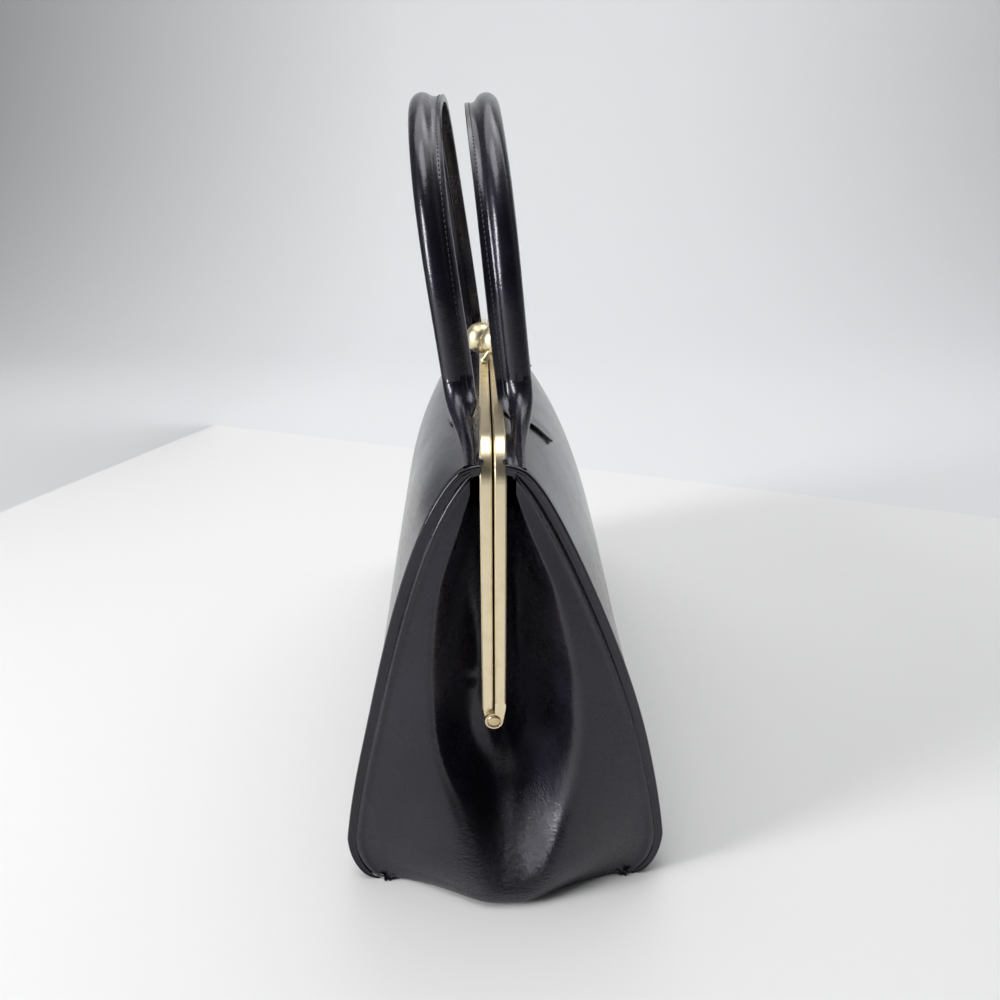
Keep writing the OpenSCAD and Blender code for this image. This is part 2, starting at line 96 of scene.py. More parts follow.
BALL_X = 7.7
BALL_SET = 3.8
SIDES = {"front": -1, "back": 1}
ENDS = {"right": 1, "left": -1}


def mix(a, b, t):
    return a + (b - a) * t


def ease(t):
    t = min(1, max(0, t))
    return t * t * (3 - 2 * t)


def bezier(a, b, c, d, t):
    u = 1 - t
    return u * u * u * a + 3 * u * u * t * b + 3 * u * t * t * c + t * t * t * d


# The shape of the body, the same as the solids have

def middle_y(z):
    """Middle of the body at a height: it leans forward to the frame above"""
    return -FRAME_SET * ease((z - LEAN_FOOT) / LEAN_RISE)


def splay(z):
    """How far the end seams stand out towards the floor"""
    return FOOT_SPLAY * max(0, 1 - z / SPLAY_TOP) ** 1.2


def side_curve(shoulder, fullness, waist, foot, s):
    """Half depth and height: s is 0 at the frame, 1 at the foot and 2 under the base"""
    if s <= 1:
        return bezier(Vector((TOP_W, TOP_Z)), Vector((TOP_W + shoulder, TOP_Z)),
                      Vector((foot - fullness, FOOT_RISE + waist)), Vector((foot, FOOT_RISE)), s)
    turn = math.radians(90 * (s - 1))
    return Vector((foot - FOOT_TURN * (1 - math.cos(turn)), FOOT_RISE * (1 - math.sin(turn))))


def end_side(s):
    return side_curve(16, 7, 54, FOOT_W, s)


def side_at(x, s):
    middle = side_curve(42, 17, 46, FOOT_W + FOOT_SWELL, s)
    return mix(end_side(s), middle, 1 - (x / SEAM_X) ** 2)


def skin(side, x, s, out=0.0):
    """A point of the front or back, moved out from its surface"""
    def at(x, s):
        w, z = side_at(x, s)
        return Vector((x + splay(z) * (x / SEAM_X) ** 3, middle_y(z) + side * w, z))
    if not out:
        return at(x, s)
    across = at(x + 0.5, s) - at(x - 0.5, s)
    down = at(x, s + 0.004) - at(x, s - 0.004)
    return at(x, s) + out * side * across.cross(down).normalized()


def side_s(x, w):
    """The place on the side where the half depth is w"""
    low, high = 0.0, 0.6
    for _ in range(18):
        middle = (low + high) / 2
        if side_at(x, middle)[0] < w:
            low = middle
        else:
            high = middle
    return low


def seam_square(s):
    """The way in from the end seam, square to it, as width and height"""
    a, b = end_side(max(0, s - 0.01)), end_side(min(2, s + 0.01))
    t = (b - a).normalized()
    return Vector((t[1], -t[0]))


def arm_inner(z):
    """Inner edge of the frame's arms and shoulders at a height"""
    if z < FRAME_TOP - SHOULDER_R:
        return FRAME_X - RAIL_DEPTH
    reach = (SHOULDER_R - RAIL_DEPTH) ** 2 - (z - FRAME_TOP + SHOULDER_R) ** 2
    return FRAME_X - SHOULDER_R + math.sqrt(max(0, reach))


def ridge_place(u, z):
    """Place of the ridges, which run out from the lip as they rise and in again near the top"""
    h = max(0, z) / HINGE_Z
    slow = (h / 0.75) ** 1.5 if u < 0 else (h / 0.58) ** 1.2
    return 0.07 + 0.63 * (1 - math.exp(-slow)) - 0.17 * ease((z / FRAME_TOP - 0.68) / 0.22)


def ridge_out(z):
    """Crest of the ridges: the lip at the foot dies away, and a low ridge runs on to the top"""
    lip = (LIP_REACH - RIDGE_HEIGHT) * math.exp(-z / 32)
    return lip + RIDGE_HEIGHT * max(0, 1 - z / RIDGE_TOP)


def valley_out(z):
    """Floor of the fold: inside the arms above the hinge, out at the lip near the floor"""
    inside = arm_inner(z) - 0.5 - SEAM_X - splay(z)
    rise = (HINGE_Z - VALLEY_RISE - z) / (HINGE_Z - VALLEY_RISE - FOOT_RISE / 3)
    return mix(inside, ridge_out(z), ease(rise))


def fold_out(u, z, w):
    """How far the gusset stands out from the seams: flat behind the arms, a ridge each side"""
    t = abs(u)
    off = math.copysign(1, u) * (-FRAME_SET - middle_y(z)) if u else 0
    h = z / HINGE_Z
    flat = (HALF_W + 0.9 + off) / w * ease((h - 0.42) / 0.49)
    r = max(ridge_place(u, z), min(flat + 0.1, 0.97))
    if t < r:
        rise = max(0, (t - flat) / (r - flat)) ** mix(1.2, 1.7, ease((h - 0.42) / 0.56))
        return mix(valley_out(z), ridge_out(z), ease(rise))
    beyond = (t - r) / (1 - r)
    nose = (math.sqrt(beyond ** 2 + 0.0225) - 0.15) / (math.sqrt(1.0225) - 0.15)
    return ridge_out(z) * mix((1 - nose) ** 1.7, 1 - beyond ** 1.3, ease(h / 0.76))


def gusset_skin(end, u, s):
    """A point of the gusset: u runs across from seam to seam, s down as in side_curve"""
    outer = end_side(s)
    inner = outer + SEAM_LIFT * seam_square(s)
    edge = abs(u) ** 6
    # The edge turns up into the seam, and less so at the foot's corner
    z = mix(outer[1], inner[1], edge * (1 - 0.35 * ease((s - 1.5) / 0.4)))
    turn = math.radians(90 * max(0, s - 1))
    under = FOOT_TURN * (1 - math.cos(turn)) * fold_out(u, 0, FOOT_W) / LIP_REACH
    # The leather slopes far in between the ridges, and folds into a pleat behind the arms
    low = ease((z - 28) / 45)
    hollow = max(0, 1 - abs(u) / max(0.2, ridge_place(u, z)))
    pleat = HOLLOW_DEPTH * hollow ** 1.3 + PLEAT_DEPTH * math.exp(-(u * inner[0] / 5) ** 2)
    # A rounded rim beside the seam
    from_seam = (1 - abs(u)) * inner[0]
    rim = mix(0.5, 1.4, ease((z - 40) / 90)) * math.exp(-((from_seam - 1.9) / 1.3) ** 2)
    x = SEAM_X + splay(outer[1]) + fold_out(u, outer[1], inner[0]) - under - pleat * low + rim
    return Vector((end * x, middle_y(z) + u * inner[0], z))


def waver(point, size, depth, seed):
    """A slow unevenness of leather that was worked by hand"""
    return depth * noise.noise(point / size + Vector((seed, 2 * seed, 3 * seed)))


# Opening: leather stays with the base at the foot and goes with the frame at the top

def lift(z):
    return ease((z - FOOT_RISE) / (FRAME_TOP - FOOT_RISE))


def bend(piece, spread):
    """Bends a piece with the frame; spread runs from -1 on the front half to 1 on the back"""
    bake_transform(piece, "front_frame", "back_frame", start=(0, -0.05, 0.1), end=(0, 0.05, 0.1))
    weights = piece.data.attributes["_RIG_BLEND"].data
    for vertex, weight in zip(piece.data.vertices, weights):
        z = vertex.co.z / MM
        weight.value = 0.5 + 0.5 * lift(z) * spread(vertex.co / MM)
    return piece


def across_gusset(point):
    """How far a point lies across the body, from -1 at the front seam to 1 at the back"""
    w = (point.y - middle_y(point.z)) / max(5, half_depth(point.z))
    return max(-1, min(1, w))


def half_depth(z):
    """Half the body's depth at a height"""
    low, high = 0.0, 1.0
    for _ in range(12):
        middle = (low + high) / 2
        if end_side(middle)[1] > z:
            low = middle
        else:
            high = middle
    return end_side(low)[0]


# Making meshes

def piece(name, bm, finish, slot, replaced=(), sharp=40):
    """Makes a mesh in millimetres into a piece of the purse"""
    mesh = bpy.data.meshes.new(name)
    bmesh.ops.scale(bm, vec=(MM, MM, MM), verts=bm.verts)
    bm.to_mesh(mesh)
    bm.free()
    mesh.shade_smooth()
    mesh.set_sharp_from_angle(angle=math.radians(sharp))
    mesh.materials.append(finish)
    made = bpy.data.objects.new(name, mesh)
    bpy.context.scene.collection.objects.link(made)
    if replaced:
        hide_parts(*replaced)
    return made


def loft(columns, rows, place, turned=False, measure=None, closed=False):
    """A grid of faces, with each point put in place by its column and row"""
    bm = bmesh.new()
    bmesh.ops.create_grid(bm, x_segments=columns, y_segments=rows, size=0.5)
    spots = {v: (round((v.co.x + 0.5) * columns), round((v.co.y + 0.5) * rows)) for v in bm.verts}
    if measure:
        layer = bm.loops.layers.uv.new("surface")
        for face in bm.faces:
            for loop in face.loops:
                loop[layer].uv = measure(*spots[loop.vert])
    for vertex, (i, j) in spots.items():
        vertex.co = place(i, j)
    if closed:
        bmesh.ops.remove_doubles(bm, verts=bm.verts, dist=1e-4)
        ends = [edge for edge in bm.edges if edge.is_boundary]
        bmesh.ops.holes_fill(bm, edges=ends, sides=0)
        bmesh.ops.recalc_face_normals(bm, faces=bm.faces)
    elif turned:
        bmesh.ops.reverse_faces(bm, faces=bm.faces)
    return bm


def thicken(made, thickness, edge=0.4):
    """Gives a sheet its thickness, inwards, with rounded edges"""
    solid = made.modifiers.new("thickness", "SOLIDIFY")
    solid.thickness = thickness * MM
    solid.offset = -1
    solid.use_even_offset = False
    rounded = made.modifiers.new("edge", "BEVEL")
    rounded.width = edge * MM
    rounded.segments = 2
    rounded.limit_method = "ANGLE"
    rounded.angle_limit = math.radians(50)
    rounded.harden_normals = False
    return made


def turned_shape(profile, steps):
    """Spins a profile of (radius, height) pairs about Z"""
    bm = bmesh.new()
    corners = [bm.verts.new((r, 0, z)) for r, z in profile]
    edges = [bm.edges.new(pair) for pair in zip(corners, corners[1:])]
    bmesh.ops.spin(bm, geom=corners + edges, axis=(0, 0, 1), cent=(0, 0, 0), steps=steps,
                   angle=2 * math.pi, use_merge=True)
    bmesh.ops.remove_doubles(bm, verts=bm.verts, dist=1e-4)
    bmesh.ops.recalc_face_normals(bm, faces=bm.faces)
    return bm


def join(parts):
    """Puts several meshes into one"""
    whole = bmesh.new()
    for part in parts:
        mesh = bpy.data.meshes.new("part")
        part.to_mesh(mesh)
        part.free()
        whole.from_mesh(mesh)
        bpy.data.meshes.remove(mesh)
    return whole


def stitches(places, length=1.5, radius=0.28):
    """A row of stitches, each a short thread that dips into the leather at both ends"""
    whole = bmesh.new()
    for point, along, out in places:
        side = along.cross(out).normalized()
        along, out = along.normalized(), out.normalized()
        first = bmesh.ops.create_grid(whole, x_segments=6, y_segments=4, size=0.5)["verts"]
        for v in first:
            turn = (v.co.x + 0.5) * 2 * math.pi
            t = v.co.y * 2
            high = radius * (1 - 0.75 * t * t) ** 0.5
            lie = point + along * t * length / 2 - out * 0.5 * radius * t * t
            v.co = lie + out * high * math.sin(turn) + side * high * math.cos(turn)
        bmesh.ops.remove_doubles(whole, verts=first, dist=1e-4)
    bmesh.ops.recalc_face_normals(whole, faces=whole.faces)
    return whole


# Finishes

def tone(code):
    """Turns an sRGB hex colour into the linear one that a shader takes"""
    parts = [int(code[i:i + 2], 16) / 255 for i in (1, 3, 5)]
    linear = [p / 12.92 if p <= 0.04045 else ((p + 0.055) / 1.055) ** 2.4 for p in parts]
    return (*linear, 1.0)


def add(tree, kind, settings=None, sockets=None):
    """Adds a node with its settings, and its sockets' values and links"""
    made = tree.nodes.new("ShaderNode" + kind)
    for key, value in (settings or {}).items():
        setattr(made, key, value)
    for key, value in (sockets or {}).items():
        if isinstance(value, bpy.types.NodeSocket):
            tree.links.new(value, made.inputs[key])
        else:
            made.inputs[key].default_value = value
    return made


def start_finish(name, sockets):
    """A new material with its shader, and the place on the object in millimetres"""
    made = bpy.data.materials.new(name)
    made.use_nodes = True
    tree = made.node_tree
    tree.nodes.clear()
    shader = add(tree, "BsdfPrincipled", sockets=sockets)
    add(tree, "OutputMaterial", sockets={"Surface": shader.outputs["BSDF"]})
    place = add(tree, "TexCoord").outputs["Object"]
    per_mm = add(tree, "VectorMath", {"operation": "SCALE"}, {0: place, "Scale": 1000.0})
    return made, tree, shader, per_mm.outputs[0]


def box_calf(name, colour, shine, folds, creased_foot=False):
    """Box calf: chrome-tanned calf, dyed through and glazed with an agate roller, so it is
    near black with a violet cast, glossy, and its grain only shows where light grazes it.
    Its soft folds are given as their width in mm, how they are drawn out, and their strength"""
    width, drawn, strength = folds
    made, tree, shader, place = start_finish(name, {
        "IOR": 1.48, "Specular Tint": tone("#e6e4f4"), "Coat Weight": 0.3,
        "Coat Roughness": 0.12, "Coat IOR": 1.5})
    mottle = add(tree, "TexNoise", sockets={
        "Vector": place, "Scale": 1 / 26, "Detail": 4.0}).outputs["Fac"]
    fine = add(tree, "TexNoise", sockets={
        "Vector": place, "Scale": 1 / 3, "Detail": 3.0, "Roughness": 0.6}).outputs["Fac"]
    paler = add(tree, "MapRange", sockets={"Value": mottle, "From Min": 0.35, "From Max": 0.7})
    colours = add(tree, "Mix", {"data_type": "RGBA"}, {
        0: paler.outputs["Result"], 6: tone(colour), 7: tone("#1a1824")})
    tree.links.new(colours.outputs[2], shader.inputs["Base Color"])
    glaze = add(tree, "MapRange", sockets={
        "Value": mottle, "From Min": 0.3, "From Max": 0.7,
        "To Min": shine, "To Max": shine + 0.07})
    rubbed = add(tree, "MapRange", sockets={
        "Value": fine, "From Min": 0.3, "From Max": 0.7, "To Min": -0.03, "To Max": 0.03})
    worn = add(tree, "Math", {"operation": "ADD"}, {
        0: glaze.outputs["Result"], 1: rubbed.outputs["Result"]})
    tree.links.new(worn.outputs[0], shader.inputs["Roughness"])
    # Pores and grain about 0.6 mm apart, over the soft folds
    grain = add(tree, "TexVoronoi", {"feature": "SMOOTH_F1"}, {
        "Vector": place, "Scale": 1 / 0.6, "Smoothness": 0.6}).outputs["Distance"]
    pulled = add(tree, "Mapping", sockets={"Vector": place, "Scale": drawn}).outputs["Vector"]
    soft = add(tree, "TexNoise", sockets={
        "Vector": pulled, "Scale": 1 / width, "Detail": 3.0, "Roughness": 0.6}).outputs["Fac"]
    low = add(tree, "Bump", sockets={"Height": soft, "Strength": strength, "Distance": 0.0006})
    if creased_foot:
        # Short creases where the leather is drawn together over the lip, up to 50 mm high
        parts = add(tree, "SeparateXYZ", sockets={0: place})
        near_foot = add(tree, "MapRange", sockets={
            "Value": parts.outputs["Z"], "From Min": 24.0, "From Max": 52.0,
            "To Min": 1.0, "To Max": 0.0})
        beside = add(tree, "Math", {"operation": "ABSOLUTE"}, {0: parts.outputs["Y"]})
        inside = add(tree, "MapRange", sockets={
            "Value": beside.outputs[0], "From Min": 14.0, "From Max": 26.0,
            "To Min": 1.0, "To Max": 0.0})
        amount = add(tree, "Math", {"operation": "MULTIPLY"}, {
            0: near_foot.outputs["Result"], 1: inside.outputs["Result"]})
        gathered = add(tree, "Mapping", sockets={"Vector": place, "Scale": (1.0, 0.45, 1.6)})
        creases = add(tree, "TexNoise", sockets={
            "Vector": gathered.outputs["Vector"], "Scale": 1 / 1.6, "Detail": 4.0,
            "Roughness": 0.65})
        low = add(tree, "Bump", sockets={
            "Height": creases.outputs["Fac"], "Strength": amount.outputs[0],
            "Distance": 0.0007, "Normal": low.outputs["Normal"]})
    bump = add(tree, "Bump", sockets={
        "Height": grain, "Strength": 0.10, "Distance": 0.0002, "Normal": low.outputs["Normal"]})
    tree.links.new(bump.outputs["Normal"], shader.inputs["Normal"])
    tree.links.new(bump.outputs["Normal"], shader.inputs["Coat Normal"])
    return made


def brass(name, light, dark, shine, brushed, tarnish):
    """Brass: rolled, bent and brushed along its length, then lacquered, so it is a pale warm
    gold with fine lines and a few brown patches where the lacquer has gone"""
    made, tree, shader, place = start_finish(name, {"Metallic": 1.0})
    patches = add(tree, "TexNoise", sockets={
        "Vector": place, "Scale": 1 / 9, "Detail": 4.0, "Roughness": 0.6}).outputs["Fac"]
    stain = add(tree, "MapRange", sockets={
        "Value": patches, "From Min": 0.52, "From Max": 0.72, "To Max": tarnish}).outputs["Result"]
    colours = add(tree, "Mix", {"data_type": "RGBA"}, {0: stain, 6: tone(light), 7: tone(dark)})
    tree.links.new(colours.outputs[2], shader.inputs["Base Color"])
    # Brushed lines 0.35 mm wide
    along = add(tree, "Mapping", sockets={"Vector": place, "Scale": brushed}).outputs["Vector"]
    lines = add(tree, "TexNoise", sockets={
        "Vector": along, "Scale": 1 / 0.35, "Detail": 3.0, "Roughness": 0.7}).outputs["Fac"]
    polish = add(tree, "MapRange", sockets={
        "Value": lines, "From Min": 0.3, "From Max": 0.7,
        "To Min": shine - 0.05, "To Max": shine + 0.06})
    dull = add(tree, "MapRange", sockets={"Value": stain, "To Max": 0.12})
    rough = add(tree, "Math", {"operation": "ADD"}, {
        0: polish.outputs["Result"], 1: dull.outputs["Result"]})
    tree.links.new(rough.outputs[0], shader.inputs["Roughness"])
    bump = add(tree, "Bump", sockets={"Height": lines, "Strength": 0.12, "Distance": 0.0001})
    tree.links.new(bump.outputs["Normal"], shader.inputs["Normal"])
    return made


def woven(name, colour, shade, step):
    """Cotton lining: plain weave, dyed, so it is matt with a fine chequer of threads, drawn
    coarser than real threads so that it shows"""
    made, tree, shader, place = start_finish(name, {
        "Sheen Weight": 0.2, "Sheen Roughness": 0.6, "Roughness": 0.85})
    parts = add(tree, "SeparateXYZ", sockets={0: place})
    waves = []
    for axis in range(3):
        turn = add(tree, "Math", {"operation": "MULTIPLY"}, {
            0: parts.outputs[axis], 1: 2 * math.pi / step})
        waves.append(add(tree, "Math", {"operation": "SINE"}, {0: turn.outputs[0]}).outputs[0])
    first = add(tree, "Math", {"operation": "MULTIPLY"}, {0: waves[0], 1: waves[2]})
    second = add(tree, "Math", {"operation": "MULTIPLY"}, {0: waves[1], 1: waves[2]})
    threads = add(tree, "Math", {"operation": "ADD"}, {0: first.outputs[0], 1: second.outputs[0]})
    tint = add(tree, "MapRange", sockets={
        "Value": threads.outputs[0], "From Min": -1.0, "From Max": 1.0}).outputs["Result"]
    faded = add(tree, "TexNoise", sockets={"Vector": place, "Scale": 1 / 14, "Detail": 4.0})
    uneven = add(tree, "MapRange", sockets={
        "Value": faded.outputs["Fac"], "From Min": 0.3, "From Max": 0.7, "To Max": 0.4})
    either = add(tree, "Math", {"operation": "MAXIMUM"}, {0: tint, 1: uneven.outputs["Result"]})
    colours = add(tree, "Mix", {"data_type": "RGBA"}, {
        0: either.outputs[0], 6: tone(shade), 7: tone(colour)})
    tree.links.new(colours.outputs[2], shader.inputs["Base Color"])
    bump = add(tree, "Bump", sockets={"Height": tint, "Strength": 0.35, "Distance": 0.0003})
    tree.links.new(bump.outputs["Normal"], shader.inputs["Normal"])
    return made


def pulp(name, colour, shade, grain):
    """Board and paper cord: pressed or twisted pulp, so it is matt and flecked"""
    made, tree, shader, place = start_finish(name, {"Roughness": 0.9})
    fibres = add(tree, "TexNoise", sockets={
        "Vector": place, "Scale": 1 / grain, "Detail": 5.0, "Roughness": 0.7})
    flecks = add(tree, "MapRange", sockets={
        "Value": fibres.outputs["Fac"], "From Min": 0.35, "From Max": 0.65}).outputs["Result"]
    colours = add(tree, "Mix", {"data_type": "RGBA"}, {0: flecks, 6: tone(shade), 7: tone(colour)})
    tree.links.new(colours.outputs[2], shader.inputs["Base Color"])
    bump = add(tree, "Bump", sockets={"Height": flecks, "Strength": 0.3, "Distance": 0.0002})
    tree.links.new(bump.outputs["Normal"], shader.inputs["Normal"])
    return made


def thread_finish():
    """Waxed linen thread: twisted and dyed, so it is dark with a soft shine and fine turns"""
    made, tree, shader, place = start_finish("waxed_linen_thread", {"Roughness": 0.42})
    turns = add(tree, "TexNoise", sockets={
        "Vector": place, "Scale": 1 / 0.5, "Detail": 2.0}).outputs["Fac"]
    colours = add(tree, "Mix", {"data_type": "RGBA"}, {
        0: turns, 6: tone("#1d1d22"), 7: tone("#4a4a52")})
    tree.links.new(colours.outputs[2], shader.inputs["Base Color"])
    bump = add(tree, "Bump", sockets={"Height": turns, "Strength": 0.3, "Distance": 0.0001})
    tree.links.new(bump.outputs["Normal"], shader.inputs["Normal"])
    return made


PANEL_CALF = box_calf("black_box_calf", "#0b0a11", 0.21, (30, (1.0, 1.0, 0.35), 0.14))
GUSSET_CALF = box_calf("soft_black_calf", "#0a0910", 0.24, (9, (0.5, 1.2, 0.5), 0.3),
                       creased_foot=True)
HANDLE_CALF = box_calf("rolled_black_calf", "#0b0a12", 0.23, (4, (1.0, 1.0, 1.0), 0.16))
WELT_CALF = box_calf("folded_calf_strip", "#08070c", 0.13, (4, (1.0, 1.0, 1.0), 0.2))
FRAME_BRASS = brass("brushed_brass", "#f1e2c0", "#c0a67c", 0.34, (1.0, 1.0, 0.03), 0.25)
BALL_BRASS = brass("polished_brass", "#e9dcb8", "#c0a878", 0.34, (0.3, 0.3, 0.3), 0.25)
RIVET_BRASS = brass("turned_brass", "#dcc8a0", "#a08058", 0.3, (0.3, 0.3, 0.3), 0.3)
THREAD = thread_finish()
LINING_COTTON = woven("cotton_lining", "#8f7d66", "#6d5c49", 1.2)
BOARD = pulp("grey_board", "#a08a66", "#7f6b4c", 1.6)
PAPER_CORD = pulp("twisted_paper_cord", "#c9b68f", "#a38f68", 1.0)


# Front and back panels, each one piece of leather from inside the channel to under the foot

PANEL_COLUMNS = 120
PANEL_ROWS = 84
PANEL_EDGE = 133.4
BACK_SWELL = 2.6
TUCK_END = 118.0
# Distance out and height of the tuck's rows, in the channel and beside the frame
IN_CHANNEL = ((3.25, 180.5), (3.25, 178.0), (3.25, 176.4), (3.4, 175.6), (3.8, 175.25),
              (4.6, 175.2), (5.6, 175.2))
BESIDE = ((4.75, 178.0), (4.8, 177.3), (4.95, 176.6), (5.2, 176.1), (5.5, 175.75),
          (5.85, 175.5), (6.2, 175.3))
TUCK_ROWS = len(IN_CHANNEL)


def panel_x(i):
    """Columns lie closer together near the ends"""
    u = 2 * i / PANEL_COLUMNS - 1
    return PANEL_EDGE * u * (1.28 - 0.28 * u * u)


def panel_top(x, j):
    """Outward and up: into the channel along the rail, and up beside the frame at its corners"""
    level = 4.7 + 1.7 * j / TUCK_ROWS
    reach = abs(x)
    down = ease((reach - TUCK_END) / 2)
    up = ease((reach - TUCK_END - 3) / 4)
    w = mix(mix(IN_CHANNEL[j][0], level, down), BESIDE[j][0], up)
    z = mix(mix(IN_CHANNEL[j][1], TOP_Z - 0.05, down), BESIDE[j][1], up)
    return w, z


def panel_place(side, i, j):
    x = panel_x(i)
    if j < TUCK_ROWS:
        w, z = panel_top(x, j)
        return Vector((x, -FRAME_SET + side * w, z))
    s = 2 * ((j - TUCK_ROWS) / (PANEL_ROWS - TUCK_ROWS)) ** 1.1
    calm = ease(s / 0.2) * ease((2 - s) / 0.5) * ease((PANEL_EDGE - abs(x)) / 25)
    out = waver(Vector((x, 40 * side, 60 * s)), 55, 0.7, 3) * calm
    out -= 0.7 * ease((abs(x) - PANEL_EDGE + 3) / 3)
    if side > 0:
        out += BACK_SWELL * (1 - (x / SEAM_X) ** 2) * math.exp(-((s - 0.48) / 0.2) ** 2)
    return skin(side, x, s, out)


for word, side in SIDES.items():
    bm = loft(PANEL_COLUMNS, PANEL_ROWS, lambda i, j: panel_place(side, i, j),
              turned=side < 0)
    made = piece(f"{word}_leather_panel", bm, PANEL_CALF, "body_leather",
                 (f"{word}_upper_panel", f"{word}_lower_panel"))
    thicken(made, LEATHER)
    bend(made, lambda point: side)


# Gussets

GUSSET_COLUMNS = 150
GUSSET_ROWS = 110


def gusset_place(end, i, j):
    u = 2 * i / GUSSET_COLUMNS - 1
    u = u * (1.15 - 0.15 * u * u)
    top = 0.05 + 0.25 * (1 - u * u) ** 2
    s = mix(top, 2, (j / GUSSET_ROWS) ** 0.9)
    point = gusset_skin(end, u, s)
    calm = (1 - abs(u) ** 4) * ease((2 - s) / 0.4)
    point.x += end * calm * waver(point, 30, 0.8, 5 if end > 0 else 11)
    return point


for word, end in ENDS.items():
    bm = loft(GUSSET_COLUMNS, GUSSET_ROWS, lambda i, j: gusset_place(end, i, j), turned=end > 0)
    made = piece(f"{word}_leather_gusset", bm, GUSSET_CALF, "body_leather",
                 (f"{word}_gusset",))
    thicken(made, LEATHER)
    bend(made, across_gusset)


# Welts: a folded strip in each end seam, with a bead along its outer edge and a flat band
# beside it, as distance in from the seam and distance out along X

WELT = ((0.35, 133.0), (0.75, 133.6), (0.85, 134.3), (0.7, 134.9), (0.3, 135.3), (-0.2, 135.25),
        (-0.6, 134.95), (-1.0, 134.65), (-1.5, 134.5), (-2.1, 134.45), (-2.7, 134.4),
        (-3.1, 134.2), (-3.2, 133.8), (-3.1, 133.4), (-2.6, 133.1), (-1.3, 132.9))
WELT_ROWS = 130


def welt_place(end, side, i, j):
    inward, x = WELT[i % len(WELT)]
    s = 1.95 * (j / WELT_ROWS) ** 1.15
    narrow = 1 - 0.45 * ease((s - 0.5) / 1.2) - 0.4 * ease((s - 1.6) / 0.35)
    inward, x = inward * narrow, SEAM_X + (x - SEAM_X) * narrow
    w, z = end_side(s) - inward * seam_square(s)
    # The strip's top turns in behind the arms
    if s < 0.08:
        w -= 2.4 * (1 - s / 0.08)
        z += 0.5 * (1 - s / 0.08)
    return Vector((end * (x + splay(z)), middle_y(z) + side * w, max(0.02, z)))


for word, end in ENDS.items():
    strips = [loft(len(WELT), WELT_ROWS, lambda i, j: welt_place(end, side, i, j), closed=True)
              for side in (-1, 1)]
    made = piece(f"{word}_leather_welt", join(strips), WELT_CALF, "piping_leather",
                 (f"{word}_piping",), 60)
    bend(made, lambda point: math.copysign(1, point.y - middle_y(point.z)))


# Base

def base_end(u, inset):
    return (SEAM_X + FOOT_SPLAY - LEATHER - 1.2 - inset
            + fold_out(u, 0, FOOT_W) * (1 - FOOT_TURN / LIP_REACH))


def base_place(inset, z, i, j, columns, rows):
    u = 2 * j / rows - 1
    w = (FOOT_W - FOOT_TURN - 0.6 - inset) * u
    return Vector(((2 * i / columns - 1) * base_end(u, inset), w, z))


def base_sheet(name, inset, z, thickness, finish, slot, replaced):
    bm = loft(60, 40, lambda i, j: base_place(inset, z, i, j, 60, 40))
    made = piece(name, bm, finish, slot, replaced)
    thicken(made, thickness, 0.2)
    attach(made, "body")


base_sheet("base_leather", 0, LEATHER, LEATHER, PANEL_CALF, "body_leather", ("base_panel",))
base_sheet("base_lining_cloth", 4, LEATHER + 2.8, LINING, LINING_COTTON, "lining",
           ("base_lining",))


# Linings

LINING_IN = LEATHER + GAP


def lining_place(side, i, j):
    x = mix(-130, 130, i / 50)
    s = mix(0.02, 1.5, (j / 50) ** 1.1)
    return skin(side, x, s, -LINING_IN)


for word, side in SIDES.items():
    bm = loft(50, 50, lambda i, j: lining_place(side, i, j), turned=side < 0)
    made = piece(f"{word}_lining_cloth", bm, LINING_COTTON, "lining", (f"{word}_lining",))
    thicken(made, LINING, 0.15)
    bend(made, lambda point: side)


def gusset_lining_place(end, i, j):
    u = 0.96 * (2 * i / 80 - 1)
    s = mix(0.12 + 0.2 * (1 - u * u) ** 2, 1.85, j / 70)
    point = gusset_skin(end, u, s)
    near, far = gusset_skin(end, u + 0.01, s), gusset_skin(end, u - 0.01, s)
    above, below = gusset_skin(end, u, s - 0.01), gusset_skin(end, u, s + 0.01)
    out = (near - far).cross(below - above).normalized()
    out *= math.copysign(1, out.x * end)
    if s < 1:
        return point - Vector((end * LINING_IN / max(0.45, abs(out.x)), 0, 0))
    return point - out * LINING_IN


for word, end in ENDS.items():
    bm = loft(80, 70, lambda i, j: gusset_lining_place(end, i, j), turned=end > 0)
    made = piece(f"{word}_gusset_lining_cloth", bm, LINING_COTTON, "lining",
                 (f"{word}_gusset_lining",))
    thicken(made, LINING, 0.15)
    bend(made, across_gusset)


def side_s_at(z):
    """The place on the middle of the front or back at a height"""
    low, high = 0.0, 1.0
    for _ in range(18):
        middle = (low + high) / 2
        if side_at(0, middle)[1] > z:
            low = middle
        else:
            high = middle
    return low


POCKET_HALF = 65.0
POCKET_LOW, POCKET_HIGH = side_s_at(62), side_s_at(128)


def pocket_place(i, j):
    x = mix(-POCKET_HALF, POCKET_HALF, i / 40)
    s = mix(POCKET_HIGH, POCKET_LOW, j / 24)
    sag = 1.2 * (1 - (x / POCKET_HALF) ** 2) * (1 - j / 24) ** 2
    return skin(1, x, s, -(LINING_IN + LINING + 0.2 + sag))


made = piece("slip_pocket_cloth", loft(40, 24, pocket_place), LINING_COTTON, "lining",
             ("slip_pocket",))
thicken(made, LINING, 0.15)
bend(made, lambda point: 1)


# Handles

ARCH_ROWS = 96
LEG_ROWS = 12
FOOT_ROWS = 30
SIDE_ROWS = FOOT_ROWS + LEG_ROWS
HANDLE_ROWS = 2 * SIDE_ROWS + ARCH_ROWS
HANDLE_COLUMNS = 56
ARCH_LEN = math.pi * HANDLE_X
FOOT_TOP = 12.0


